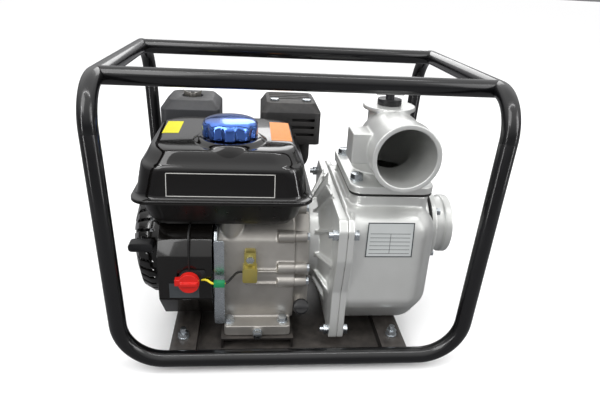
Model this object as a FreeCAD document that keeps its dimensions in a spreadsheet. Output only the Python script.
# A petrol engine and a three inch trash pump in a welded tube frame.
# Millimetres. +X runs from the recoil starter to the suction port, +Y runs from the discharge
# port to the cylinder head, +Z is up. The origin is on the ground under the middle of the frame.
import FreeCAD
import Part
import Sketcher
import math
import os

Vector = FreeCAD.Vector
Rotation = FreeCAD.Rotation

doc = FreeCAD.newDocument("trash_pump")
sheet = doc.addObject("Spreadsheet::Sheet", "sizes")
nodes = []


class Size:
    """A length that remembers the spreadsheet formula it is worked out from."""

    def __init__(self, value, text):
        self.value = float(value)
        self.text = text

    def __float__(self):
        return self.value

    def __add__(self, other):
        other = as_size(other)
        return Size(self.value + other.value, "(" + self.text + " + " + other.text + ")")

    def __sub__(self, other):
        other = as_size(other)
        return Size(self.value - other.value, "(" + self.text + " - " + other.text + ")")

    def __mul__(self, other):
        other = as_size(other)
        return Size(self.value * other.value, "(" + self.text + " * " + other.text + ")")

    def __truediv__(self, other):
        other = as_size(other)
        return Size(self.value / other.value, "(" + self.text + " / " + other.text + ")")

    def __neg__(self):
        return Size(0 - self.value, "(0 - " + self.text + ")")

    def __radd__(self, other):
        return as_size(other) + self

    def __rsub__(self, other):
        return as_size(other) - self

    def __rmul__(self, other):
        return as_size(other) * self


def as_size(number):
    """Turn a plain number into a Size, and leave a Size as it is."""
    if isinstance(number, Size):
        return number
    return Size(number, "(" + repr(float(number)) + ")")


def cell(alias, value):
    """Store one driving dimension in the next row of the sheet, and return it as a Size."""
    row = str(len(cell.rows) + 1)
    cell.rows.append(alias)
    sheet.set("A" + row, alias)
    sheet.set("B" + row, str(value))
    sheet.setAlias("B" + row, alias)
    return Size(value, "sizes." + alias)


cell.rows = []


# ---------------------------------------------------------------- making solids from the sizes

def bind(obj, prop, number):
    """Tie a property to the spreadsheet formula of a Size."""
    obj.setExpression(prop, as_size(number).text)


def place(obj, x, y, z):
    """Tie the three coordinates of a placement to their formulas."""
    for name, number in zip("xyz", (x, y, z)):
        bind(obj, "Placement.Base." + name, number)


def span_of(span):
    """Length of a (low, high) pair."""
    return as_size(span[1]) - span[0]


def box(x, y, z):
    """Block between two corners, given as three (low, high) pairs."""
    block = doc.addObject("Part::Box", "block")
    for side, span in zip(("Length", "Width", "Height"), (x, y, z)):
        bind(block, side, span_of(span))
    place(block, x[0], y[0], z[0])
    return block


AXIS_TURN = {
    "X": Rotation(Vector(0, 1, 0), 90),
    "Y": Rotation(Vector(1, 0, 0), -90),
    "Z": Rotation(),
}


def on_axis(axis, span, at):
    """Coordinates of a point at the start of a span along an axis; at holds the other two."""
    spot = list(at)
    spot.insert("XYZ".index(axis), span[0])
    return spot


def rod(axis, radius, span, at):
    """Round bar along X, Y or Z."""
    bar = doc.addObject("Part::Cylinder", "bar")
    bind(bar, "Radius", radius)
    bind(bar, "Height", span_of(span))
    bar.Placement.Rotation = AXIS_TURN[axis]
    place(bar, *on_axis(axis, span, at))
    return bar


def cone(axis, radii, span, at):
    """Tapered bar along X, Y or Z, from radii[0] to radii[1]."""
    taper = doc.addObject("Part::Cone", "taper")
    bind(taper, "Radius1", radii[0])
    bind(taper, "Radius2", radii[1])
    bind(taper, "Height", span_of(span))
    taper.Placement.Rotation = AXIS_TURN[axis]
    place(taper, *on_axis(axis, span, at))
    return taper


def hexagon(axis, flats, span, at):
    """Hexagon bar along X, Y or Z, given its width across flats."""
    head = doc.addObject("Part::Prism", "hexagon")
    head.Polygon = 6
    bind(head, "Circumradius", as_size(flats) / math.sqrt(3))
    bind(head, "Height", span_of(span))
    head.Placement.Rotation = AXIS_TURN[axis]
    place(head, *on_axis(axis, span, at))
    return head


def fuse(*parts):
    """Join solids into one."""
    whole = doc.addObject("Part::MultiFuse", "joined")
    whole.Shapes = list(parts)
    return whole


def cut(base, *tools):
    """Take tools away from a solid."""
    rest = doc.addObject("Part::Cut", "cut")
    rest.Base = base
    rest.Tool = tools[0] if len(tools) == 1 else fuse(*tools)
    return rest


def common(*parts):
    """Keep what the solids share."""
    shared = doc.addObject("Part::MultiCommon", "shared")
    shared.Shapes = list(parts)
    return shared


def group(*parts):
    """Several separate solids kept as one sub-part."""
    together = doc.addObject("Part::Compound", "set")
    together.Links = list(parts)
    return together


def origin_plane(body, role):
    """A body's own origin plane, found by its role."""
    for feature in body.Origin.OriginFeatures:
        if feature.Role == role:
            return feature
    raise ValueError(role)


def draw_outline(sketch, outline):
    """Closed polygon in a sketch, with every corner tied to its two formulas."""
    corners = [Vector(float(u), float(v), 0) for u, v in outline]
    count = len(corners)
    for index in range(count):
        sketch.addGeometry(Part.LineSegment(corners[index], corners[(index + 1) % count]), False)
    for index in range(count):
        after = (index + 1) % count
        sketch.addConstraint(Sketcher.Constraint("Coincident", index, 2, after, 1))
    for index in range(count):
        for kind, number, axis_line in (("DistanceX", outline[index][0], -2),
                                        ("DistanceY", outline[index][1], -1)):
            number = as_size(number)
            if abs(number.value) < 1e-6:
                sketch.addConstraint(Sketcher.Constraint("PointOnObject", index, 1, axis_line))
                continue
            row = sketch.addConstraint(
                Sketcher.Constraint(kind, -1, 1, index, 1, number.value))
            sketch.setExpression("Constraints[" + str(row) + "]", number.text)


PLANE_ROLE = {"X": "YZ_Plane", "Y": "XZ_Plane", "Z": "XY_Plane"}


def slab(axis, outline, span, corner=None, round_all=False):
    """PartDesign body: a polygon padded along an axis, with its long edges rounded if asked."""
    body = doc.addObject("PartDesign::Body", "slab")
    sketch = body.newObject("Sketcher::SketchObject", "outline")
    sketch.AttachmentSupport = [(origin_plane(body, PLANE_ROLE[axis]), "")]
    sketch.MapMode = "FlatFace"
    start = -as_size(span[1]) if axis == "Y" else span[0]
    bind(sketch, "AttachmentOffset.Base.z", start)
    draw_outline(sketch, outline)
    pad = body.newObject("PartDesign::Pad", "pad")
    pad.Profile = sketch
    bind(pad, "Length", span_of(span))
    if corner is None:
        return body
    doc.recompute()
    direction = {"X": Vector(1, 0, 0), "Y": Vector(0, 1, 0), "Z": Vector(0, 0, 1)}[axis]
    names = []
    for number, edge in enumerate(pad.Shape.Edges):
        along = (edge.Vertexes[-1].Point - edge.Vertexes[0].Point).normalize()
        if round_all or abs(along.dot(direction)) > 0.99:
            names.append("Edge" + str(number + 1))
    fillet = body.newObject("PartDesign::Fillet", "rounded")
    fillet.Base = (pad, names)
    bind(fillet, "Radius", corner)
    body.Tip = fillet
    return body


def turned(axis, profile, at):
    """PartDesign body: an outline of (distance along, radius) points turned about an axis."""
    body = doc.addObject("PartDesign::Body", "turned")
    sketch = body.newObject("Sketcher::SketchObject", "profile")
    sketch.AttachmentSupport = [(origin_plane(body, "XZ_Plane"), "")]
    sketch.MapMode = "FlatFace"
    draw_outline(sketch, profile)
    turn = body.newObject("PartDesign::Revolution", "turn")
    turn.Profile = sketch
    turn.ReferenceAxis = (sketch, ["H_Axis"])
    turn.Angle = 360.0
    body.Placement.Rotation = {
        "X": Rotation(),
        "Y": Rotation(Vector(0, 0, 1), 90),
        "Z": Rotation(Vector(0, 1, 0), -90),
    }[axis]
    place(body, *on_axis(axis, (0, 0), at))
    return body


def round_edges(solid, radius, test):
    """Part fillet on the edges that pass a test."""
    doc.recompute()
    rounded = doc.addObject("Part::Fillet", "rounded")
    rounded.Base = solid
    picked = []
    for number, edge in enumerate(solid.Shape.Edges):
        if test(edge):
            picked.append((number + 1, float(radius), float(radius)))
    rounded.Edges = picked
    return rounded


def ring_of(solid, count, axis, at):
    """Copies of a solid spaced evenly about an axis."""
    doc.recompute()
    direction = {"X": Vector(1, 0, 0), "Y": Vector(0, 1, 0), "Z": Vector(0, 0, 1)}[axis]
    centre = Vector(*[float(number) for number in on_axis(axis, (0, 0), at)])
    copies = []
    for index in range(count):
        shape = solid.Shape.copy()
        shape.rotate(centre, direction, 360.0 * index / count)
        copies.append(shape)
    pattern = doc.addObject("Part::Feature", "ring")
    pattern.Shape = Part.makeCompound(copies)
    return pattern


def bent_path(points, bend):
    """Straight runs joined by tangent arcs of one bend radius."""
    points = [Vector(*[float(number) for number in point]) for point in points]
    edges = []
    start = points[0]
    for before, corner, after in zip(points, points[1:], points[2:]):
        inward = (before - corner).normalize()
        outward = (after - corner).normalize()
        half = math.acos(max(-1.0, min(1.0, inward.dot(outward)))) / 2
        back = float(bend) / math.tan(half)
        first = corner + inward * back
        last = corner + outward * back
        middle_way = (inward + outward).normalize()
        centre = corner + middle_way * (float(bend) / math.sin(half))
        middle = centre - middle_way * float(bend)
        if (first - start).Length > 1e-4:
            edges.append(Part.LineSegment(start, first).toShape())
        edges.append(Part.Arc(first, middle, last).toShape())
        start = last
    if (points[-1] - start).Length > 1e-4:
        edges.append(Part.LineSegment(start, points[-1]).toShape())
    return Part.Wire(edges)


def tube_shape(path, radius, bore=0.0):
    """Round section swept along a path, with a bore where one is given."""
    first = path.Edges[0]
    start = first.valueAt(first.FirstParameter)
    direction = first.tangentAt(first.FirstParameter)

    def sweep(size):
        ring = Part.Wire([Part.makeCircle(float(size), start, direction)])
        return path.makePipeShell([ring], True, False)

    outside = sweep(radius)
    if bore:
        return outside.cut(sweep(bore))
    return outside


def feature(shape):
    """Sub-part whose shape is worked out with Part's own functions."""
    obj = doc.addObject("Part::Feature", "shaped")
    obj.Shape = shape
    return obj


def node(label, obj):
    """Name a finished sub-part."""
    obj.Label = label
    nodes.append(obj)
    return obj


# ---------------------------------------------------------------- driving dimensions

frame_length = cell("frame_length", 506)
frame_width = cell("frame_width", 398)
frame_height = cell("frame_height", 394)
tube_dia = cell("tube_dia", 22)
tube_wall = cell("tube_wall", 1.8)
leg_lean = cell("leg_lean", 13)
bottom_bend = cell("bottom_bend", 58)
top_bend = cell("top_bend", 53)
bar_inset = cell("bar_inset", 56)
ground_gap = cell("ground_gap", 8)

pan_wall = cell("pan_wall", 3)
pan_floor = cell("pan_floor", 14)
shoulder_top = cell("shoulder_top", 28)
shoulder_width = cell("shoulder_width", 32)
feet_left = cell("feet_left", -153)
feet_right = cell("feet_right", 143)
feet_span = cell("feet_span", 308)
foot_dia = cell("foot_dia", 28)

riser_rise = cell("riser_rise", 16)
shaft_rise = cell("shaft_rise", 106)
shaft_back = cell("shaft_back", -48)
foot_pitch_x = cell("foot_pitch_x", 75.5)
foot_pitch_y = cell("foot_pitch_y", 162)
block_left = cell("block_left", -106)
block_length = cell("block_length", 106)
block_wall = cell("block_wall", 9)
block_bore = cell("block_bore", 68)
stroke = cell("stroke", 54)
rod_length = cell("rod_length", 85)
cylinder_tilt = cell("cylinder_tilt", 25)
side_cover_depth = cell("side_cover_depth", 20)
journal_dia = cell("journal_dia", 25)
bearing_dia = cell("bearing_dia", 52)
bearing_width = cell("bearing_width", 15)
running_gap = cell("running_gap", 0.05)

fan_radius = cell("fan_radius", 112)
fan_depth = cell("fan_depth", 70)
sheet_wall = cell("sheet_wall", 2)
recoil_radius = cell("recoil_radius", 84)
recoil_depth = cell("recoil_depth", 43)

tank_length = cell("tank_length", 231)
tank_width = cell("tank_width", 212)
tank_right = cell("tank_right", 18)
tank_front = cell("tank_front", -160)
tank_bottom = cell("tank_bottom", 195)
tank_lower_rise = cell("tank_lower_rise", 39)
tank_upper_rise = cell("tank_upper_rise", 64)
tank_inset = cell("tank_inset", 24)
cap_dia = cell("cap_dia", 74)
neck_dia = cell("neck_dia", 50)

pump_joint = cell("pump_joint", 62)
adapter_flange = cell("adapter_flange", 12)
case_flange = cell("case_flange", 9)
case_length = cell("case_length", 119)
case_width = cell("case_width", 224)
case_wall = cell("case_wall", 6)
port_dia = cell("port_dia", 88)
port_bore = cell("port_bore", 75)
elbow_rise = cell("elbow_rise", 63)
elbow_reach = cell("elbow_reach", 122)
suction_rise = cell("suction_rise", 22)
suction_reach = cell("suction_reach", 36)
impeller_dia = cell("impeller_dia", 124)

# ---------------------------------------------------------------- frame tubes

tube_r = tube_dia / 2
half_length = frame_length / 2 - tube_r
half_width = frame_width / 2 - tube_r
low_z = ground_gap + tube_r
high_z = frame_height - tube_r


def frame_tube(label, points, bend):
    """One bent tube of the frame, hollow."""
    path = bent_path(points, bend)
    return node(label, feature(tube_shape(path, tube_r, tube_r - tube_wall)))


lean_rate = leg_lean.value / (high_z - low_z).value
weld_z = high_z - top_bend
weld_x = half_length - top_bend * lean_rate
foot_x = half_length - leg_lean
for label, side in (("frame_hoop_front", -1), ("frame_hoop_rear", 1)):
    y = half_width * side
    frame_tube(label, [(-weld_x, y, weld_z), (-foot_x, y, low_z), (foot_x, y, low_z),
                       (weld_x, y, weld_z)], bottom_bend)
for label, side in (("frame_top_left", -1), ("frame_top_right", 1)):
    frame_tube(label, [(weld_x * side, -half_width, weld_z),
                       (half_length * side, -half_width, high_z),
                       (half_length * side, half_width, high_z),
                       (weld_x * side, half_width, weld_z)], top_bend - 0.5)
for label, side in (("frame_bar_front", -1), ("frame_bar_rear", 1)):
    at = ((half_width - bar_inset) * side, high_z)
    ends = (-half_length, half_length)
    saddles = [rod("Y", tube_r, (-half_width, half_width), (x, high_z)) for x in ends]
    bar = cut(rod("X", tube_r, ends, at), *saddles)
    node(label, cut(bar, rod("X", tube_r - tube_wall, ends, at)))

# ---------------------------------------------------------------- base pan, riser and feet

pan_left = feet_left - shoulder_width / 2
pan_left_step = feet_left + shoulder_width / 2
pan_right_step = feet_right - shoulder_width / 2
pan_right = feet_right + shoulder_width / 2
shoulder_under = shoulder_top - pan_wall
pan_profile = [
    (pan_left, shoulder_under), (pan_left, shoulder_top),
    (pan_left_step + pan_wall, shoulder_top), (pan_left_step + pan_wall, pan_floor),
    (pan_right_step - pan_wall, pan_floor), (pan_right_step - pan_wall, shoulder_top),
    (pan_right, shoulder_top), (pan_right, shoulder_under),
    (pan_right_step, shoulder_under), (pan_right_step, pan_floor - pan_wall),
    (pan_left_step, pan_floor - pan_wall), (pan_left_step, shoulder_under),
]
pan = slab("Y", pan_profile, (-half_width, half_width))
bottom_bars = [rod("X", tube_r, (-half_length, half_length), (half_width * side, low_z))
               for side in (-1, 1)]
bolt_dia = cell("bolt_dia", 8)
feet = []
feet_bolts = []
feet_holes = []
for x in (feet_left, feet_right):
    for side in (-1, 1):
        at = (x, feet_span / 2 * side)
        foot = turned("Z", [(0, bolt_dia), (0, foot_dia / 2 - 1), (shoulder_under - 4, foot_dia / 2 + 2),
                            (shoulder_under, foot_dia / 2 + 2), (shoulder_under, bolt_dia / 2),
                            (6, bolt_dia / 2), (6, bolt_dia)], at)
        feet.append(foot)
        feet_holes.append(rod("Z", bolt_dia / 2, (shoulder_under - 1, shoulder_top + 1), at))
        stud = rod("Z", bolt_dia / 2, (6, shoulder_top + 15), at)
        washer = rod("Z", bolt_dia, (shoulder_top, shoulder_top + 2), at)
        nut = hexagon("Z", 13, (shoulder_top + 2, shoulder_top + 8.5), at)
        head = hexagon("Z", 13, (1.5, 6), at)
        feet_bolts.append(fuse(stud, washer, nut, head))
node("base_pan", cut(pan, *bottom_bars, *feet_holes))
node("rubber_feet", group(*feet))
node("feet_bolts", group(*feet_bolts))

base_z = pan_floor + riser_rise
shaft_z = base_z + shaft_rise
foot_left = block_left + 9
foot_right = block_left + block_length - 4
foot_front = tank_front + 4
bolt_front = foot_front + 13
foot_bolt_x = (foot_left + 6.5, foot_left + 6.5 + foot_pitch_x)
foot_bolt_y = (bolt_front, bolt_front + foot_pitch_y)
foot_top = base_z + 16
riser_profile = [
    (foot_left - 4, pan_floor), (foot_left - 4, base_z),
    (foot_right + 4, base_z), (foot_right + 4, pan_floor),
    (foot_right + 4 - pan_wall, pan_floor), (foot_right + 4 - pan_wall, base_z - pan_wall),
    (foot_left - 4 + pan_wall, base_z - pan_wall), (foot_left - 4 + pan_wall, pan_floor),
]
riser = slab("Y", riser_profile, (foot_front - 6, bolt_front + foot_pitch_y + 20))
block_holes = [rod("Z", bolt_dia / 2 + 0.5, (base_z - 4, foot_top + 1), (x, y))
               for x in foot_bolt_x for y in foot_bolt_y]
node("engine_riser", cut(riser, *block_holes))

# ---------------------------------------------------------------- engine block and what turns in it

shaft_at = (shaft_back, shaft_z)
block_right = block_left + block_length
cover_right = block_right + side_cover_depth
tilt_turn = Rotation(Vector(-1, 0, 0), 90 - cylinder_tilt.value)
bore_x = block_left + block_length / 2
deck = stroke / 2 + rod_length + 28


def as_whole(obj):
    """Wrap a plain primitive, so that it can be moved without losing its own place."""
    return group(obj) if obj.isDerivedFrom("Part::Primitive") else obj


def tilt(obj):
    """Stand a solid made about the local Z axis on the crankshaft, along the tilted cylinder."""
    obj = as_whole(obj)
    obj.Placement.Rotation = tilt_turn
    bind(obj, "Placement.Rotation.Angle", 90 - cylinder_tilt)
    place(obj, bore_x, shaft_back, shaft_z)
    return obj


body_front = shaft_back - 84
foot = slab("Z", [(foot_left, foot_front), (foot_right, foot_front),
                  (foot_right, foot_front + foot_pitch_y + 26), (foot_left, foot_front + foot_pitch_y + 26)],
            (base_z, foot_top), 6)
block_profile = [
    (body_front, foot_top - 4), (body_front - 4, shaft_z - 20), (body_front + 10, shaft_z + 28),
    (shaft_back - 40, shaft_z + 66), (shaft_back + 36, shaft_z + 66), (shaft_back + 78, shaft_z + 20),
    (shaft_back + 66, shaft_z - 24), (shaft_back + 52, shaft_z - 60), (shaft_back + 52, foot_top - 4),
]
block_body = slab("X", block_profile, (block_left, block_right), 10)
fin_up = cell("fin_up", 36)
barrel = common(rod("Z", block_bore / 2 + 9, (30, deck), (0, 0)), box((-60, 60), (-fin_up, 60), (20, deck)))
fins = [box((-51, 51), (-fin_up, 50), (deck - 3 - 9 * step, deck - 9 * step)) for step in range(6)]
barrel = tilt(fuse(barrel, *fins))
crank_room = stroke / 2 + 33
cavity = rod("X", crank_room, (block_left + block_wall, block_right + 1), shaft_at)
bearing_seat = rod("X", bearing_dia / 2, (block_left - 1, block_left + block_wall + 1), shaft_at)
cylinder_bore = tilt(rod("Z", block_bore / 2, (10, deck + 1), (0, 0)))
boss_spots = [
    (shaft_back - 72, shaft_z + 33), (shaft_back - 85, shaft_z - 9), (shaft_back - 85, shaft_z - 30),
    (shaft_back + 54, shaft_z - 62), (shaft_back + 70, shaft_z + 14), (shaft_back - 40, shaft_z + 62),
]
boss_r = 8
bosses = [rod("X", boss_r, (block_right - 24, block_right), spot) for spot in boss_spots]
ribs = [box((block_left + 40, block_right - 20), (body_front - 7, body_front + 8),
            (shaft_z + rise, shaft_z + rise + 2.5)) for rise in (-33, -14)]
drain_boss = rod("Y", 7, (foot_front - 1.5, foot_front + 4), ((foot_left + foot_right) / 2, base_z + 7))
tower = rod("Z", 17, (shaft_z + 20, tank_bottom - 1), (block_left + 18, body_front + 28))
node("crankcase", cut(fuse(foot, block_body, barrel, drain_boss, tower, *bosses, *ribs),
                      cavity, bearing_seat, cylinder_bore, *block_holes))

cover_profile = [
    (body_front + 6, foot_top), (body_front + 2, shaft_z - 20), (body_front + 14, shaft_z + 24),
    (shaft_back - 37, shaft_z + 64), (shaft_back + 34, shaft_z + 64), (shaft_back + 75, shaft_z + 18),
    (shaft_back + 64, shaft_z - 24), (shaft_back + 50, shaft_z - 60), (shaft_back + 50, foot_top),
]
cover_shell = slab("X", cover_profile, (block_right, cover_right), 10)
cover_bosses = [rod("X", boss_r, (block_right, block_right + 16), spot) for spot in boss_spots]
cover_hollow = rod("X", crank_room - 4, (block_right - 1, block_right + 5), shaft_at)
cover_seat = rod("X", bearing_dia / 2, (block_right, cover_right - 4), shaft_at)
cover_eye = rod("X", journal_dia / 2 + 4, (block_right, cover_right + 1), shaft_at)
filler_x = block_right + 10
filler_turn = Rotation(Vector(1, 0, 0), 55)
filler_z = foot_top + 12
filler_y = body_front + 6
filler_reach = cell("filler_reach", 19)


def on_filler(obj):
    """Point a solid made about the local Z axis out of the oil filler, forwards and up."""
    obj = as_whole(obj)
    obj.Placement.Rotation = filler_turn
    place(obj, filler_x, filler_y, filler_z)
    return obj


filler = on_filler(rod("Z", 9.5, (-14, filler_reach), (0, 0)))
filler_bore = on_filler(rod("Z", 6.5, (-10, filler_reach + 1), (0, 0)))
screw_rooms = [rod("X", 8, (block_right + 16, cover_right + 1), spot) for spot in boss_spots]
node("side_cover", cut(fuse(cut(fuse(cover_shell, *cover_bosses), cover_hollow), filler),
                       cover_seat, cover_eye, filler_bore, *screw_rooms))

bearing_ring = [
    (0, journal_dia / 2 + running_gap), (0, bearing_dia / 2),
    (bearing_width, bearing_dia / 2), (bearing_width, journal_dia / 2 + running_gap),
]
left_bearing = turned("X", bearing_ring, shaft_at)
place(left_bearing, block_left - 1, shaft_back, shaft_z)
right_bearing = turned("X", bearing_ring, shaft_at)
place(right_bearing, cover_right - 4 - bearing_width, shaft_back, shaft_z)
node("crank_bearings", group(left_bearing, right_bearing))

journal_r = journal_dia / 2
fan_left = block_left - 6 - fan_depth
flywheel_left = fan_left + 30
shaft_end = pump_joint + 46
web_reach = 36
web_left = bore_x - web_reach
web_right = bore_x + web_reach
rod_half = 10.5
shaft_left = rod("X", journal_r, (fan_left - 2, web_left), shaft_at)
shaft_right = rod("X", journal_r, (web_right, shaft_end), shaft_at)


def web(span):
    """Crank web with its counterweight, about the local X axis, the pin towards local Z."""
    outline = [(-16, stroke / 2 + 16), (16, stroke / 2 + 16), (20, 0), (33, -6), (33, -26), (18, -39),
               (-18, -39), (-33, -26), (-33, -6), (-20, 0)]
    return slab("X", outline, span)


pin_at = (0, stroke / 2)
left_pin = rod("X", 15, (-rod_half - 7, -rod_half - 0.5), pin_at)
right_pin = rod("X", 15, (rod_half + 0.5, rod_half + 7), pin_at)
left_web = tilt(fuse(web((-web_reach, -rod_half - 6)), left_pin))
right_web = tilt(fuse(web((rod_half + 6, web_reach)), right_pin))
node("crankshaft", fuse(shaft_left, shaft_right, left_web, right_web))

piston_low = deck - 28 - 22
skirt_cuts = [box((side * 28 - 13, side * 28 + 13), (-24, 24), (piston_low - 1, piston_low + 11))
              for side in (-1, 1)]
piston = tilt(cut(rod("Z", block_bore / 2 - running_gap, (piston_low, deck - 1), (0, 0)),
                  rod("Z", block_bore / 2 - 6, (piston_low - 1, deck - 9), (0, 0)), *skirt_cuts,
                  rod("X", 9, (-block_bore / 2, block_bore / 2), (0, deck - 28))))
node("piston", piston)
pin_spot = (0, deck - 28)
node("wrist_pin", tilt(cut(rod("X", 9, (-28, 28), pin_spot), rod("X", 5, (-29, 29), pin_spot))))
big_end = rod("X", 21, (-rod_half, rod_half), pin_at)
small_end = rod("X", 13, (-rod_half, rod_half), pin_spot)
shank = box((-6, 6), (-8, 8), (stroke / 2 + 10, deck - 34))
node("connecting_rod", tilt(cut(fuse(big_end, small_end, shank), rod("X", 15.1, (-20, 20), pin_at),
                                rod("X", 9 + running_gap, (-20, 20), pin_spot))))

head_top = deck + 26
head_fins = [box((-51, 51), (-fin_up, 50), (deck + 5 + 7 * step, deck + 8 + 7 * step)) for step in range(3)]
head_body = slab("Z", [(-44, -fin_up), (44, -fin_up), (44, 44), (-44, 44)], (deck, head_top), 8)
ports = rod("X", 12, (-55, 55), (0, deck + 13))
port_bores = [rod("X", 8.5, (-56, -20), (0, deck + 13)), rod("X", 8.5, (20, 56), (0, deck + 13))]
chamber = rod("Z", 30, (deck - 1, deck + 7), (0, 0))
plug_at = (-20, -26)
plug_hole = rod("Z", 7, (deck + 3, head_top + 1), plug_at)
node("cylinder_head", tilt(cut(fuse(head_body, ports, *head_fins), chamber, plug_hole, *port_bores)))
cover_top = head_top + 24
rocker_cover = slab("Z", [(-36, -10), (36, -10), (36, 38), (-36, 38)], (head_top, cover_top), 12)
rocker_hollow = slab("Z", [(-33, -7), (33, -7), (33, 35), (-33, 35)], (head_top - 1, cover_top - 3), 9)
rocker_flange = slab("Z", [(-42, -14), (42, -14), (42, 43), (-42, 43)], (head_top, head_top + 4), 10)
node("valve_cover", tilt(cut(fuse(rocker_cover, rocker_flange), rocker_hollow)))
node("spark_plug", tilt(fuse(hexagon("Z", 20, (head_top, head_top + 9), plug_at),
                             rod("Z", 5, (head_top + 9, head_top + 28), plug_at))))
node("plug_cap", tilt(cut(fuse(rod("Z", 9, (head_top + 14, head_top + 40), plug_at),
                               box((-27, -13), (-26, -10), (head_top + 30, head_top + 42))),
                          rod("Z", 5, (head_top + 13, head_top + 28), plug_at))))

# ---------------------------------------------------------------- flywheel, fan cover and recoil starter

fan_right = block_left - 6
wheel_r = cell("wheel_r", 83)
wheel = turned("X", [(flywheel_left, journal_r), (flywheel_left, 30), (flywheel_left + 6, wheel_r),
                     (fan_right - 4, wheel_r), (fan_right - 4, wheel_r - 10), (fan_right - 14, wheel_r - 10),
                     (fan_right - 14, 26), (fan_right - 2, 26), (fan_right - 2, journal_r)], shaft_at)
place(wheel, 0, shaft_back, shaft_z)
blade = box((flywheel_left - 12, flywheel_left + 8), (shaft_back - 1.5, shaft_back + 1.5),
            (shaft_z + wheel_r - 34, shaft_z + wheel_r - 2))
node("flywheel", fuse(wheel, ring_of(blade, 14, "X", shaft_at)))

fan_flat = tank_bottom - 4
fan_front = shaft_back - fan_radius


def fan_outline(inset):
    """Outline of the fan cover seen along the shaft, drawn in by an inset."""
    return [
        (fan_front + inset, shaft_z - 42), (fan_front + inset, shaft_z + 22),
        (fan_front + 12 + inset, fan_flat - 14), (fan_front + 34 + inset, fan_flat - inset),
        (shaft_back + 96 - inset, fan_flat - inset), (shaft_back + 108 - inset, fan_flat - 30),
        (shaft_back + 96 - inset, shaft_z - 50), (shaft_back + 60 - inset, shaft_z - 92 + inset),
        (shaft_back - 70 + inset, shaft_z - 92 + inset),
    ]


fan_skin = fuse(slab("X", fan_outline(0), (fan_left, fan_right), 9),
                rod("X", wheel_r + 5, (fan_left, fan_right), shaft_at))
fan_hollow = fuse(slab("X", fan_outline(sheet_wall), (fan_left + sheet_wall, fan_right + 1), 7),
                  rod("X", wheel_r + 5 - sheet_wall, (fan_left + sheet_wall, fan_right + 1), shaft_at))
inlet = rod("X", recoil_radius - 12, (fan_left - 1, fan_left + sheet_wall + 1), shaft_at)
node("fan_cover", cut(fan_skin, fan_hollow, inlet))

recoil_left = fan_left - recoil_depth


def recoil_profile(inset):
    """Half section of the recoil housing, drawn in by an inset."""
    return [(fan_left, recoil_radius - inset), (fan_left - 16, recoil_radius - inset),
            (fan_left - 30, recoil_radius - 8 - inset), (recoil_left + 6 + inset, recoil_radius - 26),
            (recoil_left + inset, recoil_radius - 46), (recoil_left + inset, 0)]


recoil_skin = turned("X", recoil_profile(0) + [(fan_left, 0)], shaft_at)
recoil_hollow = turned("X", recoil_profile(2.5) + [(fan_left, 0)], shaft_at)
place(recoil_skin, 0, shaft_back, shaft_z)
place(recoil_hollow, 0.01, shaft_back, shaft_z)
slot = box((fan_left - 34, fan_left - 10), (shaft_back - 2.2, shaft_back + 2.2),
           (shaft_z + recoil_radius - 26, shaft_z + recoil_radius + 4))
side_slots = ring_of(slot, 36, "X", shaft_at)
face_slot = box((recoil_left - 1, recoil_left + 12), (shaft_back - 2.6, shaft_back + 2.6),
                (shaft_z + 30, shaft_z + 62))
face_slots = ring_of(face_slot, 18, "X", shaft_at)
grip_y = shaft_back - 66
grip_z = fan_flat - 26
rope_hole = rod("Y", 4, (shaft_back - 90, shaft_back - 40), (fan_left - 22, grip_z))
recoil_post = rod("X", 8, (recoil_left + 1, recoil_left + 18), shaft_at)
node("recoil_housing", fuse(cut(recoil_skin, recoil_hollow, side_slots, face_slots, rope_hole),
                            recoil_post))
reel_profile = [(recoil_left + 4, 8 + running_gap), (recoil_left + 4, 34), (recoil_left + 7, 34),
                (recoil_left + 7, 27), (recoil_left + 14, 27), (recoil_left + 14, 34),
                (recoil_left + 17, 34), (recoil_left + 17, 8 + running_gap)]
reel = turned("X", reel_profile, shaft_at)
place(reel, 0, shaft_back, shaft_z)
node("recoil_reel", reel)
cup_left = recoil_left + 20
cup = turned("X", [(cup_left, 20), (cup_left, 36), (fan_left - 2, 36), (fan_left - 2, 0),
                   (fan_left - 6, 0), (fan_left - 6, 33), (cup_left + 3, 33), (cup_left + 3, 20)], shaft_at)
place(cup, 0, shaft_back, shaft_z)
cup_boss = rod("X", 20, (fan_left - 3, flywheel_left), shaft_at)
cup_bore = rod("X", journal_r, (fan_left - 2.5, flywheel_left + 1), shaft_at)
node("starter_cup", cut(fuse(cup, cup_boss), cup_bore))
grip_x = fan_left - 22
grip_front = shaft_back - recoil_radius + 6
grip = slab("Y", [(grip_x - 16, grip_z - 6), (grip_x + 16, grip_z - 6), (grip_x + 16, grip_z + 6),
                  (grip_x - 16, grip_z + 6)], (grip_front - 22, grip_front - 6), 5)
rope = rod("Y", 2, (grip_front - 8, shaft_back - 27), (grip_x, grip_z))
node("starter_grip", fuse(grip, rope))

# ---------------------------------------------------------------- pieces on the front of the engine

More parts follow.
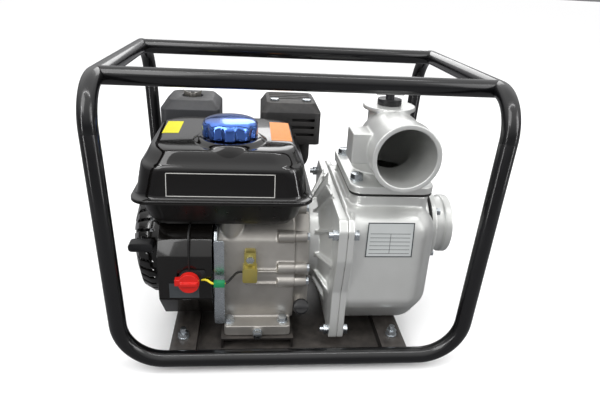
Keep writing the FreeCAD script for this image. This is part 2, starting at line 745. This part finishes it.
switch_x = fan_left + 41
switch_z = shaft_z - 10
switch_at = (switch_x, switch_z)
switch_case = rod("Y", 15, (fan_front - 4, fan_front), switch_at)
switch_ear = slab("Y", [(switch_x, switch_z - 7), (switch_x + 21, switch_z + 4),
                        (switch_x + 21, switch_z + 14), (switch_x, switch_z + 14)],
                  (fan_front - 3, fan_front), 3)
switch_screw = rod("Y", 3, (fan_front - 5, fan_front - 2.9), (switch_x + 16, switch_z + 9))
switch_post = rod("Y", 5, (fan_front - 9, fan_front - 4), switch_at)
node("switch_base", fuse(switch_case, switch_ear, switch_screw, switch_post))
knob_back = fan_front - 4.3
knob_disc = rod("Y", 13.5, (knob_back - 9, knob_back), switch_at)
knob_tab = box((switch_x - 18, switch_x - 10), (knob_back - 9, knob_back), (switch_z - 3, switch_z + 6))
knob_bar = box((switch_x - 11, switch_x + 11), (knob_back - 12, knob_back - 8),
               (switch_z - 2.5, switch_z + 2.5))
node("switch_knob", cut(fuse(knob_disc, knob_tab, knob_bar),
                        rod("Y", 5 + running_gap, (knob_back - 5, knob_back + 1), switch_at)))

body_face = body_front - 4
oil_unit_x = block_left + 44
oil_unit_z = shaft_z - 12.5
oil_unit = slab("Y", [(oil_unit_x - 10, oil_unit_z - 10.5), (oil_unit_x + 10, oil_unit_z - 10.5),
                      (oil_unit_x + 10, oil_unit_z + 10.5), (oil_unit_x - 10, oil_unit_z + 10.5)],
                (body_face - 14, body_face + 8), 3)
oil_ear = slab("Y", [(oil_unit_x - 8, oil_unit_z + 7), (oil_unit_x + 8, oil_unit_z + 7),
                     (oil_unit_x + 8, oil_unit_z + 30), (oil_unit_x - 8, oil_unit_z + 30)],
               (body_face - 3, body_face + 12), 3)
node("oil_alert_unit", cut(fuse(oil_unit, oil_ear), block_body, *ribs))

plate_left = block_left - 4
plate_profile = [(body_front - 12, base_z + 14), (body_front - 18, shaft_z - 30),
                 (body_front - 18, shaft_z + 30), (body_front - 6, fan_flat - 6),
                 (body_front + 30, fan_flat - 6), (body_front + 30, shaft_z + 30),
                 (body_front + 4, shaft_z - 20), (body_front + 6, base_z + 14)]
plate_web = slab("X", plate_profile, (plate_left, block_left))
plate_flange = slab("Y", [(plate_left, base_z + 18), (plate_left + 14, base_z + 18),
                          (plate_left + 14, shaft_z + 42), (plate_left, shaft_z + 42)],
                    (body_front - 20, body_front - 17.5), 3)
node("control_plate", fuse(plate_web, plate_flange))

cap_z = filler_reach + 0.4
dip_cap = turned("Z", [(cap_z, 0), (cap_z, 10), (cap_z + 2, 11), (cap_z + 10, 11), (cap_z + 12, 9),
                       (cap_z + 12, 0)], (0, 0))
dip_grip = box((-10, 10), (-2.5, 2.5), (cap_z + 11, cap_z + 16))
dip_stem = rod("Z", 6.4, (-6, cap_z + 1), (0, 0))
node("dipstick", on_filler(fuse(dip_cap, dip_grip, dip_stem)))

# ---------------------------------------------------------------- carburettor, air cleaner and levers

cos_tilt = math.cos(math.radians(cylinder_tilt.value))
sin_tilt = math.sin(math.radians(cylinder_tilt.value))
port_y = shaft_back + (deck + 13) * cos_tilt
port_z = shaft_z + (deck + 13) * sin_tilt
carb_right = bore_x - 55
carb_left = carb_right - 42
carb_x = (carb_left + carb_right) / 2
carb_body = box((carb_left + 6, carb_right - 4), (port_y - 13, port_y + 13), (port_z - 13, port_z + 13))
carb_throat = rod("X", 14, (carb_left, carb_right), (port_y, port_z))
carb_bowl = rod("Z", 17, (port_z - 30, port_z - 12), (carb_x, port_y))
carb_drain = hexagon("Z", 10, (port_z - 36, port_z - 29), (carb_x, port_y))
choke_post = rod("Z", 3, (port_z + 12, port_z + 22), (carb_left + 10, port_y))
valve_post = rod("Y", 4, (port_y + 12, port_y + 25), (carb_x, port_z - 4))
node("carburettor", cut(fuse(carb_body, carb_throat, carb_bowl, carb_drain, choke_post, valve_post),
                        rod("X", 9, (carb_left - 1, carb_right + 1), (port_y, port_z))))
lever_z = port_z + 16
choke_hub = rod("Z", 7, (lever_z, lever_z + 3), (carb_left + 10, port_y))
choke_arm = box((carb_left + 7, carb_left + 13), (port_y, port_y + 40), (lever_z, lever_z + 3))
choke_tip = rod("Z", 6, (lever_z - 1, lever_z + 4), (carb_left + 10, port_y + 40))
node("choke_lever", cut(fuse(choke_hub, choke_arm, choke_tip),
                        rod("Z", 3 + running_gap, (lever_z - 1, lever_z + 5), (carb_left + 10, port_y))))
valve_hub = rod("Y", 9, (port_y + 18, port_y + 22), (carb_x, port_z - 4))
valve_arm = box((carb_x - 30, carb_x), (port_y + 18, port_y + 22), (port_z - 7, port_z - 1))
node("fuel_valve_lever", cut(fuse(valve_hub, valve_arm),
                             rod("Y", 4 + running_gap, (port_y + 17, port_y + 23), (carb_x, port_z - 4))))

air_left = cell("air_left", -206)
air_length = cell("air_length", 93)
air_front = cell("air_front", 62)
air_width = cell("air_width", 103)
air_base_z = tank_bottom + 33
air_split = air_base_z + 14
air_top = air_split + 68
air_right = air_left + air_length
air_back = air_front + air_width
air_mid = ((air_left + air_right) / 2, (air_front + air_back) / 2)


def air_outline(inset):
    """Plan of the air cleaner, drawn in by an inset."""
    return [(air_left + inset, air_front + inset), (air_right - inset, air_front + inset),
            (air_right - inset, air_back - inset), (air_left + inset, air_back - inset)]


tray = slab("Z", air_outline(3), (air_base_z, air_split), 12)
tray_hollow = slab("Z", air_outline(6), (air_base_z + 3, air_split + 1), 10)
duct = box((carb_left - 30, carb_left), (port_y - 16, port_y + 16), (port_z - 14, air_base_z + 1))
duct_room = box((carb_left - 27, carb_left - 3), (port_y - 13, port_y + 13), (port_z - 11, air_base_z + 4))
duct_bore = fuse(duct_room, rod("X", 9, (carb_left - 10, carb_left + 1), (port_y, port_z)))
air_stud = rod("Z", 3, (air_base_z + 1, air_top + 6), air_mid)
node("air_cleaner_base", fuse(cut(fuse(cut(tray, tray_hollow), duct), duct_bore), air_stud))
element_ring = cut(rod("Z", 34, (air_base_z + 3, air_top - 18), air_mid),
                   rod("Z", 22, (air_base_z + 2, air_top - 22), air_mid),
                   rod("Z", 3, (air_top - 23, air_top - 17), air_mid))
node("filter_element", element_ring)
air_block = slab("Z", air_outline(0), (air_split, air_top), 12)
air_core = slab("Z", air_outline(3), (air_split - 1, air_top - 16), 10)


def rounded_wire(left, right, front, back, level, corner, inset):
    """Rounded rectangle as a wire at one height, drawn in by an inset."""
    x0 = float(left) + inset
    x1 = float(right) - inset
    y0 = float(front) + inset
    y1 = float(back) - inset
    z = float(level)
    r = float(corner)
    half = r * (1 - math.sqrt(0.5))
    arcs = [((x1 - r, y0), (x1 - half, y0 + half), (x1, y0 + r)),
            ((x1, y1 - r), (x1 - half, y1 - half), (x1 - r, y1)),
            ((x0 + r, y1), (x0 + half, y1 - half), (x0, y1 - r)),
            ((x0, y0 + r), (x0 + half, y0 + half), (x0 + r, y0))]
    edges = []
    for index, (start, middle, end) in enumerate(arcs):
        edges.append(Part.Arc(Vector(*start, z), Vector(*middle, z), Vector(*end, z)).toShape())
        after = arcs[(index + 1) % 4][0]
        edges.append(Part.LineSegment(Vector(*end, z), Vector(*after, z)).toShape())
    return Part.Wire(edges)


def bevel(base, plan, peak, depth, height):
    """Slope the four top edges of a box-shaped cover; plan is its left, right, front and back."""
    low = peak - height
    wire_low = rounded_wire(*plan, low, 12, -0.2)
    wire_high = rounded_wire(*plan, peak + 0.2, 12, depth)
    core = Part.makeLoft([wire_low, wire_high], True, True)
    lower = Part.makeBox(600, 600, low.value, Vector(-300, -200, 0))
    return common(base, feature(core.fuse(lower)))


nut_pocket = rod("Z", 17, (air_top - 5, air_top + 1), air_mid)
stud_hole = rod("Z", 3, (air_top - 17, air_top + 1), air_mid)
air_bevelled = bevel(air_block, (air_left, air_right, air_front, air_back), air_top, 12, 13)
node("air_cleaner_cover", cut(air_bevelled, air_core, nut_pocket, stud_hole))
nut_z = air_top - 4.6
wing_hub = rod("Z", 7, (nut_z, nut_z + 9), air_mid)
wing = slab("Y", [(air_mid[0] - 13, nut_z + 3), (air_mid[0] + 13, nut_z + 3), (air_mid[0] + 15, nut_z + 13),
                  (air_mid[0] + 7, nut_z + 9), (air_mid[0] - 7, nut_z + 9), (air_mid[0] - 15, nut_z + 13)],
            (air_mid[1] - 1.5, air_mid[1] + 1.5))
nut_bore = rod("Z", 3 + running_gap, (nut_z - 1, nut_z + 14), air_mid)
node("air_cleaner_nut", cut(fuse(wing_hub, wing), nut_bore))

throttle_at = (fan_right - 10, shaft_back + 84)
throttle_z = fan_flat + 4
throttle_hub = rod("Z", 9, (throttle_z, throttle_z + 3), throttle_at)
throttle_arm = box((throttle_at[0] - 92, throttle_at[0]), (throttle_at[1] - 5, throttle_at[1] + 5),
                   (throttle_z, throttle_z + 3))
tip_left = throttle_at[0] - 104
tip_right = throttle_at[0] - 82
throttle_tip = slab("Z", [(tip_left, throttle_at[1] - 8), (tip_right, throttle_at[1] - 7),
                          (tip_right, throttle_at[1] + 7), (tip_left, throttle_at[1] + 8)],
                    (throttle_z - 2, throttle_z + 6), 4)
throttle_post = fuse(rod("Z", 7, (fan_flat, throttle_z - 0.3), throttle_at),
                     rod("Z", 3, (fan_flat, throttle_z + 7), throttle_at))
node("throttle_lever", cut(fuse(throttle_hub, throttle_arm, throttle_tip),
                           rod("Z", 3 + running_gap, (throttle_z - 3, throttle_z + 7), throttle_at)))
node("throttle_post", throttle_post)

# ---------------------------------------------------------------- fuel tank

rim_z = tank_bottom + tank_lower_rise
tank_top = rim_z + tank_upper_rise
tank_left = tank_right - tank_length
tank_back = tank_front + tank_width


def pressing(levels, wall):
    """Pressed half of the tank: rounded rectangles at (height, inset, corner) levels, drawn in by a wall."""
    wires = []
    for height, inset, corner in levels:
        wires.append(rounded_wire(tank_left, tank_right, tank_front, tank_back, height,
                                  corner - wall, inset + wall))
    return Part.makeLoft(wires, True, True)


wall = sheet_wall.value
deep = tank_inset.value
lower_levels = [(tank_bottom, deep, 22), (tank_bottom + 9, deep - 7, 26), (rim_z - 2.5, 9, 28)]
lower_inner = [(tank_bottom + wall, deep, 22), (tank_bottom + 9, deep - 7, 26), (rim_z + 0.1, 9, 28)]
rim = Part.Face(rounded_wire(tank_left, tank_right, tank_front, tank_back, rim_z - 2.5, 24, 0))
rim_low = rim.extrude(Vector(0, 0, 2.5))
step_y = tank_front.value + 42
step_box = Part.makeBox(tank_length.value + 20, 200, 100,
                        Vector(tank_left.value - 10, step_y, rim_z.value - 8 - 100))
step_inner = Part.makeBox(tank_length.value + 20, 200, 100,
                          Vector(tank_left.value - 10, step_y - wall, rim_z.value - 8 - 100 + wall))
tank_lower = pressing(lower_levels, 0).cut(step_box).fuse(rim_low)
tank_lower = tank_lower.cut(pressing(lower_inner, wall).cut(step_inner))
node("fuel_tank_lower", feature(tank_lower))

upper_levels = [
    (rim_z + 2.5, 5, 26), (rim_z + tank_upper_rise * 0.64, deep - 12, 30),
    (rim_z + tank_upper_rise * 0.72, deep - 8, 32), (tank_top - 4, deep - 2, 35), (tank_top, deep + 4, 38),
]
upper_inner = [(rim_z - 0.1, 5, 26)] + upper_levels[1:4] + [(tank_top - wall, deep, 37)]
rim_high = rim.translated(Vector(0, 0, 2.5)).extrude(Vector(0, 0, 2.5))
cap_x = cell("cap_x", -90)
cap_y = cell("cap_y", -92)
cap_spot = Vector(cap_x.value, cap_y.value, 0)
neck_low = rim_z.value + 24
boss_top = tank_top.value + 5
cap_r = cap_dia.value / 2
boss_rise = boss_top - neck_low
boss_spot = cap_spot + Vector(0, 0, neck_low)
neck_boss = Part.makeCone(cap_r + 11, cap_r + 3, boss_rise, boss_spot)
boss_hollow = Part.makeCone(cap_r + 11 - wall, cap_r + 3 - wall, boss_rise - wall, boss_spot)
neck_r = neck_dia.value / 2
neck = Part.makeCylinder(neck_r, boss_top + 9 - neck_low - 20, cap_spot + Vector(0, 0, neck_low + 20))
neck_bore = Part.makeCylinder(neck_r - wall, 60, cap_spot + Vector(0, 0, neck_low + 4))
front_plane = Part.makeBox(400, 400, 400, Vector(-300, tank_front.value + 7, 0))
tank_upper = pressing(upper_levels, 0).fuse(neck_boss.common(front_plane)).fuse(rim_high)
tank_upper = tank_upper.cut(pressing(upper_inner, wall))
boss_room = boss_hollow.common(front_plane.translated(Vector(0, wall, 0)))
tank_upper = tank_upper.cut(boss_room).fuse(neck).cut(neck_bore)
node("fuel_tank_upper", feature(tank_upper))

cap_top = boss_top + 24
cap_low = boss_top + 1
cap_shell = Part.makeCylinder(cap_r, cap_top - cap_low - 5, cap_spot + Vector(0, 0, cap_low))
cap_crown = Part.makeCone(cap_r, cap_r - 7, 5, cap_spot + Vector(0, 0, cap_top - 5))
cap_hollow = Part.makeCylinder(neck_r + 0.6, 14, cap_spot + Vector(0, 0, cap_low - 1))
scallop = Part.makeCylinder(5.5, 60, cap_spot + Vector(cap_r + 3.6, 0, cap_low - 20))
scallops = []
for index in range(10):
    flute = scallop.copy()
    flute.rotate(cap_spot, Vector(0, 0, 1), 36.0 * index)
    scallops.append(flute)
node("fuel_cap", feature(cap_shell.fuse(cap_crown).cut(cap_hollow).cut(Part.makeCompound(scallops))))

# ---------------------------------------------------------------- exhaust

guard_left = cell("guard_left", -47)
guard_length = cell("guard_length", 97)
guard_front = cell("guard_front", 65)
guard_width = cell("guard_width", 105)
guard_top = cell("guard_top", 310)
guard_bottom = guard_top - 66
guard_right = guard_left + guard_length
guard_back = guard_front + guard_width
muffler_box = slab("Z", [(guard_left + 7, guard_front + 7), (guard_right - 7, guard_front + 7),
                         (guard_right - 7, guard_back - 7), (guard_left + 7, guard_back - 7)],
                   (guard_bottom + 4, guard_top - 7), 12)
muffler_hollow = slab("Z", [(guard_left + 9, guard_front + 9), (guard_right - 9, guard_front + 9),
                            (guard_right - 9, guard_back - 9), (guard_left + 9, guard_back - 9)],
                      (guard_bottom + 6, guard_top - 9), 10)
exhaust_left = bore_x + 55
elbow_x = exhaust_left + 22
exhaust_path = bent_path([(exhaust_left, port_y, port_z), (elbow_x, port_y, port_z),
                          (elbow_x, port_y, guard_bottom + 7)], 18)
muffler_posts = [rod("Z", 4, (guard_top - 7.5, guard_top - 1.5), (x, guard_front + 30))
                 for x in (guard_left + 22, guard_right - 22)]
muffler_shell = fuse(muffler_box, feature(tube_shape(exhaust_path, 12)), *muffler_posts)
node("muffler", cut(muffler_shell, muffler_hollow, feature(tube_shape(exhaust_path, 8.5))))

guard_block = slab("Z", [(guard_left, guard_front), (guard_right, guard_front), (guard_right, guard_back),
                         (guard_left, guard_back)], (guard_bottom, guard_top), 8)
guard_plan = (guard_left, guard_right, guard_front, guard_back)
guard_slope = 14
guard_hollows = []
for inset, ceiling in ((1.5, guard_slope + 1), (5.5, 8.5), (6.5, 6.4), (10, 1.5)):
    left, right = guard_left + inset, guard_right - inset
    front, back = guard_front + inset, guard_back - inset
    guard_hollows.append(slab("Z", [(left, front), (right, front), (right, back), (left, back)],
                              (guard_bottom - 1, guard_top - ceiling), 6.5))
top_slots = [box((guard_left + 14, guard_right - 14),
                 (guard_front + 42 + 13 * row, guard_front + 47 + 13 * row),
                 (guard_top - 3, guard_top + 1)) for row in range(4)]
side_holes = [box((guard_left - 1, guard_right + 1), (guard_front + 14, guard_back - 14),
                  (guard_bottom + 14 + 12 * row, guard_bottom + 19 + 12 * row)) for row in range(3)]
front_holes = [box((guard_left + 50, guard_right - 10), (guard_front - 1, guard_front + 3),
                   (guard_bottom + 14 + 12 * row, guard_bottom + 19 + 12 * row)) for row in range(3)]
tail_hole = rod("Y", 11, (guard_back - 4, guard_back + 2), ((guard_left + guard_right) / 2, guard_top - 40))
guard_shell = bevel(guard_block, guard_plan, guard_top, 9, guard_slope)
node("muffler_guard", cut(guard_shell, *guard_hollows, tail_hole, *top_slots, *side_holes, *front_holes))

# ---------------------------------------------------------------- pump

case_right = pump_joint + case_flange + case_length
case_front = shaft_back - case_width / 2
case_back = shaft_back + case_width / 2
case_low = cell("case_low", 30)
case_high = cell("case_high", 220)
plate_left_x = pump_joint - adapter_flange
flange_right = pump_joint + case_flange
flange_outline = [
    (case_front - 2, case_low - 2), (case_front - 2, shaft_z - 31), (case_front - 15, shaft_z + 24),
    (case_front - 15, case_high - 17), (case_front - 5, case_high - 3), (case_back + 5, case_high - 3),
    (case_back + 15, case_high - 17), (case_back + 15, shaft_z + 24), (case_back + 2, shaft_z - 31),
    (case_back + 2, case_low - 2),
]
cover_plate = slab("X", flange_outline, (plate_left_x, pump_joint), 5)
pilot = rod("X", 62, (cover_right, cover_right + 16), shaft_at)
bell = cone("X", (62, 84), (cover_right + 16, plate_left_x), shaft_at)
gusset = slab("Y", [(cover_right + 6, 56), (plate_left_x + 1, 104), (plate_left_x + 1, 50),
                    (cover_right + 6, 50)], (-2.5, 2.5))
place(gusset, 0, shaft_back, shaft_z)
gussets = ring_of(gusset, 12, "X", shaft_at)
cover_room = rod("X", 46, (cover_right - 1, plate_left_x - 4), shaft_at)
seal_seat = rod("X", 20, (plate_left_x - 5, pump_joint + 1), shaft_at)
flange_bolts = [(case_front - 8, case_high - 24), (case_front + 6, case_low + 9),
                (case_back - 6, case_low + 9), (case_back + 8, case_high - 24)]
flange_holes = [rod("X", bolt_dia / 2 + 0.5, (plate_left_x - 1, flange_right + 1), spot)
                for spot in flange_bolts]
node("pump_cover", cut(fuse(cover_plate, pilot, bell, gussets), cover_room, seal_seat, *flange_holes))
seal_profile = [(plate_left_x - 4, journal_r + running_gap), (plate_left_x - 4, 20), (pump_joint, 20),
                (pump_joint, 17), (pump_joint + 3, 16), (pump_joint + 3, journal_r + running_gap)]
seal = turned("X", seal_profile, shaft_at)
place(seal, 0, shaft_back, shaft_z)
node("shaft_seal", seal)

hub_left = pump_joint + 5
blade_right = hub_left + 30
impeller_profile = [(hub_left, journal_r), (hub_left, impeller_dia / 2), (hub_left + 5, impeller_dia / 2),
                    (hub_left + 6, 26), (shaft_end - 2, 19), (shaft_end + 5, 14), (shaft_end + 8, 0),
                    (shaft_end, 0), (shaft_end, journal_r)]
impeller_core = turned("X", impeller_profile, shaft_at)
place(impeller_core, 0, shaft_back, shaft_z)


def vane_shape():
    """One curved vane of the impeller, in the plane across the shaft."""
    reach = impeller_dia.value / 2 - 2
    inner, outer = [], []
    for step in range(5):
        share = step / 4.0
        radius = 19 + (reach - 19) * share
        angle = math.radians(75 * share)
        for side, edge in ((-2.2, inner), (2.2, outer)):
            edge.append(Vector(0, radius * math.cos(angle) - side * math.sin(angle),
                               radius * math.sin(angle) + side * math.cos(angle)))
    sides = []
    for edge in (inner, outer):
        curve = Part.BSplineCurve()
        curve.interpolate(edge)
        sides.append(curve.toShape())
    ends = [Part.LineSegment(inner[0], outer[0]).toShape(), Part.LineSegment(inner[-1], outer[-1]).toShape()]
    face = Part.Face(Part.Wire([sides[0], ends[1], sides[1], ends[0]]))
    vane = face.extrude(Vector(blade_right.value - hub_left.value - 4, 0, 0))
    vane.translate(Vector(hub_left.value + 4, shaft_back.value, shaft_z.value))
    return vane


vanes = []
for quarter in range(4):
    turned_vane = vane_shape()
    turned_vane.rotate(Vector(0, shaft_back.value, shaft_z.value), Vector(1, 0, 0), 90 * quarter)
    vanes.append(feature(turned_vane))
node("impeller", fuse(impeller_core, *vanes))

volute_profile = [(pump_joint, impeller_dia / 2 + 8), (pump_joint, impeller_dia / 2 + 12),
                  (blade_right + 8, impeller_dia / 2 + 12), (blade_right + 8, 38), (blade_right + 3, 38),
                  (blade_right + 3, impeller_dia / 2 + 8)]
volute_ring = turned("X", volute_profile, shaft_at)
place(volute_ring, 0, shaft_back, shaft_z)
volute_mouth = box((pump_joint + 4, blade_right + 2), (shaft_back - 10, shaft_back + 40),
                   (shaft_z + 48, shaft_z + 85))
node("volute", cut(volute_ring, volute_mouth))


def case_outline(inset):
    """Outline of the pump case seen along the shaft, drawn in by an inset."""
    return [(case_front + inset, case_high - inset), (case_front + inset, case_low + 52),
            (case_front + 44, case_low + inset), (case_back - 44, case_low + inset),
            (case_back - inset, case_low + 52), (case_back - inset, case_high - inset)]


def at_right_end(edge):
    """True for an edge in the plane of the right end of the pump case."""
    return all(abs(vertex.Point.x - case_right.value) < 0.01 for vertex in edge.Vertexes)


def at_room_end(edge):
    """True for an edge in the plane of the right end of the room inside the pump case."""
    return all(abs(vertex.Point.x - case_right.value + case_wall.value) < 0.01 for vertex in edge.Vertexes)


case_block = round_edges(slab("X", case_outline(0), (pump_joint + 1, case_right), 34), 33, at_right_end)
neck_box = slab("Z", [(flange_right + 3, case_front + 31), (case_right - 10, case_front + 31),
                      (case_right - 10, case_back - 31), (flange_right + 3, case_back - 31)],
                (case_high - 30, case_high + 14), 16)
neck_room = slab("Z", [(flange_right + 9, case_front + 37), (case_right - 16, case_front + 37),
                       (case_right - 16, case_back - 37), (flange_right + 9, case_back - 37)],
                 (case_high - 40, case_high + 15), 10)
suction_z = shaft_z + suction_rise
suction_at = (shaft_back, suction_z)
suction_face = case_right + 7
inlet_boss = rod("X", 55, (case_right - 30, suction_face), suction_at)
port_r = port_dia / 2
bore_r = port_bore / 2
case_plate = slab("X", flange_outline, (pump_joint, flange_right), 5)
case_room = round_edges(slab("X", case_outline(case_wall), (pump_joint - 1, case_right - case_wall), 28),
                        27, at_room_end)
inlet_bore = rod("X", bore_r + 0.6, (case_right - 31, suction_face + 1), suction_at)
stud_reach = 48 * math.sqrt(0.5)
stud_spots = [(shaft_back + stud_reach * side, suction_z + stud_reach * end)
              for side, end in ((1, 1), (-1, 1), (-1, -1), (1, -1))]
drain_spot = (flange_right + 30, shaft_back - 30)
case_drain = hexagon("Z", 17, (case_low - 12, case_low - 4), drain_spot)
drain_seat = rod("Z", 12, (case_low - 4, case_low + 10), drain_spot)
inlet_holes = [rod("X", 3.6, (case_right - 6, suction_face + 1), spot) for spot in stud_spots]
case_body = cut(fuse(case_block, neck_box, inlet_boss, case_plate, drain_seat),
                case_room, neck_room, inlet_bore, *inlet_holes)
elbow_x_mid = (flange_right + case_right) / 2 - 3
elbow_y_mid = shaft_back + 2
elbow_bolts = [(elbow_x_mid + 46 * side, elbow_y_mid + 55 * end) for side in (-1, 1) for end in (-1, 1)]
gasket_z = case_high + 14
elbow_holes = [rod("Z", 5.5, (gasket_z - 20, gasket_z + 20), spot) for spot in elbow_bolts]
neck_corners = [rod("Z", 10, (case_high - 16, gasket_z), spot) for spot in elbow_bolts]
node("pump_case", cut(fuse(case_body, *neck_corners), *elbow_holes, *flange_holes))

elbow_half_x = 58
elbow_half_y = 83


def elbow_outline(inset):
    """Outline of the discharge flange, drawn in by an inset."""
    x = elbow_half_x - inset
    y = elbow_half_y - inset
    return [(elbow_x_mid - x, elbow_y_mid - y), (elbow_x_mid + x, elbow_y_mid - y),
            (elbow_x_mid + x, elbow_y_mid + y), (elbow_x_mid - x, elbow_y_mid + y)]


gasket = slab("Z", elbow_outline(1), (gasket_z, gasket_z + 3), 16)
gasket_window = slab("Z", elbow_outline(20), (gasket_z - 1, gasket_z + 4), 10)
node("elbow_gasket", cut(gasket, gasket_window, *elbow_holes))
elbow_z = gasket_z + 3
discharge_z = elbow_z + elbow_rise
discharge_front = elbow_y_mid - elbow_reach
elbow_base = slab("Z", elbow_outline(0), (elbow_z, elbow_z + 11), 18)
elbow_path = bent_path([(elbow_x_mid, elbow_y_mid, elbow_z), (elbow_x_mid, elbow_y_mid, discharge_z),
                        (elbow_x_mid, discharge_front, discharge_z)], 48)
elbow_pipe = feature(tube_shape(elbow_path, port_r - 2.5))
thread = rod("Y", port_r, (discharge_front, discharge_front + 26), (elbow_x_mid, discharge_z))
disc_z = discharge_z + port_r - 2
disc_at = (elbow_x_mid, elbow_y_mid - 8)
disc_neck = rod("Z", 28, (discharge_z, disc_z), disc_at)
disc = rod("Z", 36, (disc_z - 6, disc_z), disc_at)
side_boss = box((elbow_x_mid - port_r - 18, elbow_x_mid - 20), (elbow_y_mid - 84, elbow_y_mid - 44),
                (discharge_z - 20, discharge_z + 20))
elbow_outside = fuse(elbow_base, elbow_pipe, thread, disc_neck, disc, side_boss)
elbow_bore = feature(tube_shape(elbow_path, bore_r))
prime_hole = rod("Z", 13, (discharge_z, disc_z + 1), disc_at)
base_room = slab("Z", elbow_outline(26), (elbow_z - 1, elbow_z + 7), 12)
node("discharge_elbow", cut(elbow_outside, elbow_bore, prime_hole, base_room, *elbow_holes))

plug_head = rod("Z", 16.5, (disc_z + 0.4, disc_z + 8), disc_at)
plug_thread = rod("Z", 12.9, (disc_z - 14, disc_z + 1), disc_at)
plug_stem = rod("Z", 6, (disc_z + 7, disc_z + 18), disc_at)
plug_bar = rod("X", 5, (disc_at[0] - 19, disc_at[0] + 19), (disc_at[1], disc_z + 18))
node("priming_plug", fuse(plug_head, plug_thread, plug_stem, plug_bar))

gasket_right = suction_face + 3
flap_hole = rod("X", bore_r + 0.6, (suction_face - 1, gasket_right + 1), suction_at)
gasket_holes = [rod("X", 4.5, (suction_face - 2, gasket_right + 12), spot) for spot in stud_spots]
node("suction_gasket", cut(rod("X", 57, (suction_face, gasket_right), suction_at), flap_hole, *gasket_holes))
suction_end = gasket_right + suction_reach
suction_plate = rod("X", 55, (gasket_right, gasket_right + 8), suction_at)
suction_neck = rod("X", port_r - 2.5, (gasket_right, suction_end), suction_at)
suction_thread = rod("X", port_r, (suction_end - 11, suction_end), suction_at)
suction_bore = rod("X", bore_r - 3, (gasket_right - 1, suction_end + 1), suction_at)
node("suction_flange", cut(fuse(suction_plate, suction_neck, suction_thread), suction_bore, *gasket_holes))
flap_right = gasket_right - 0.4
flap_r = bore_r - 2.5
hinge_z = suction_at[1] + bore_r - 4
flap_disc = rod("X", flap_r, (flap_right - 4, flap_right), suction_at)
flap_top = box((flap_right - 5, flap_right + 1), (suction_at[0] - 40, suction_at[0] + 40),
               (hinge_z, hinge_z + 10))
flap_weight = rod("X", 24, (flap_right - 8, flap_right - 3), suction_at)
hinge_bead = rod("Y", 2.5, (suction_at[0] - 10, suction_at[0] + 10), (flap_right - 4, hinge_z))
node("check_valve", fuse(cut(flap_disc, flap_top), flap_weight, hinge_bead))

# ---------------------------------------------------------------- fasteners and leads

fasteners = []
for spot in flange_bolts:
    fasteners.append(fuse(rod("X", bolt_dia / 2, (plate_left_x - 12, flange_right + 2), spot),
                          hexagon("X", 13, (plate_left_x - 7, plate_left_x), spot),
                          hexagon("X", 13, (flange_right, flange_right + 6), spot)))
for spot in elbow_bolts:
    fasteners.append(fuse(rod("Z", 5, (gasket_z - 18, elbow_z + 12), spot),
                          rod("Z", 9, (elbow_z + 11, elbow_z + 13), spot),
                          hexagon("Z", 15, (elbow_z + 13, elbow_z + 20), spot)))
for spot in stud_spots:
    fasteners.append(fuse(rod("X", 3.5, (case_right - 5, gasket_right + 9), spot),
                          hexagon("X", 10, (gasket_right + 8, gasket_right + 14), spot)))
fasteners.append(case_drain)
node("pump_bolts", group(*fasteners))

engine_screws = []
for x in foot_bolt_x:
    for y in foot_bolt_y:
        engine_screws.append(fuse(rod("Z", bolt_dia / 2, (base_z - pan_wall, foot_top + 1), (x, y)),
                                  rod("Z", 8, (foot_top, foot_top + 1.5), (x, y)),
                                  hexagon("Z", 12, (foot_top + 1.5, foot_top + 7), (x, y))))
for spot in boss_spots:
    engine_screws.append(hexagon("X", 10, (block_right + 16, cover_right), spot))
drain_at = ((foot_left + foot_right) / 2, base_z + 7)
engine_screws.append(fuse(rod("Y", 7, (foot_front - 3.5, foot_front - 1.5), drain_at),
                          hexagon("Y", 11, (foot_front - 10, foot_front - 3.5), drain_at)))
for x in (guard_left + 22, guard_right - 22):
    engine_screws.append(rod("Z", 7, (guard_top, guard_top + 3), (x, guard_front + 30)))
unit_bolt_at = (oil_unit_x, oil_unit_z + 21)
engine_screws.append(hexagon("Y", 10, (body_face - 9, body_face - 3), unit_bolt_at))
node("engine_bolts", group(*engine_screws))

lead_front = fan_front - 7
lead = tube_shape(bent_path([(switch_x, fan_front + 44, tank_bottom - 1.7),
                             (switch_x, fan_front - 2, tank_bottom - 1.7),
                             (switch_x, fan_front - 2, switch_z + 15.2)], 16), 1.3)
harness_run = [(switch_x + 15.2, fan_front - 2, switch_z), (switch_x + 22, fan_front - 2, switch_z),
               (switch_x + 30, lead_front, switch_z - 3), (switch_x + 48, lead_front, switch_z - 3),
               (switch_x + 62, body_face - 6, switch_z), (oil_unit_x - 10, body_face - 6, switch_z)]
harness = tube_shape(bent_path(harness_run, 9), 1.6)
connector = Part.makeBox(14, 8, 7, Vector(switch_x.value + 32, lead_front.value - 4, switch_z.value - 6.5))
node("engine_leads", feature(Part.makeCompound([lead, harness.fuse(connector)])))


# ---------------------------------------------------------------- check and write

doc.recompute()
for obj in doc.Objects:
    if "Invalid" in obj.State or "Error" in obj.State:
        raise RuntimeError(obj.Label + " failed: " + ", ".join(obj.State))
os.makedirs("parts", exist_ok=True)
for obj in nodes:
    shape = obj.Shape
    if shape.isNull() or not shape.isValid() or not shape.Solids:
        raise RuntimeError(obj.Label + " has no valid solid")
    shape.exportStep("parts/" + obj.Label + ".step")
    print(obj.Label, len(shape.Solids), round(shape.Volume / 1000.0, 1), "cm3")
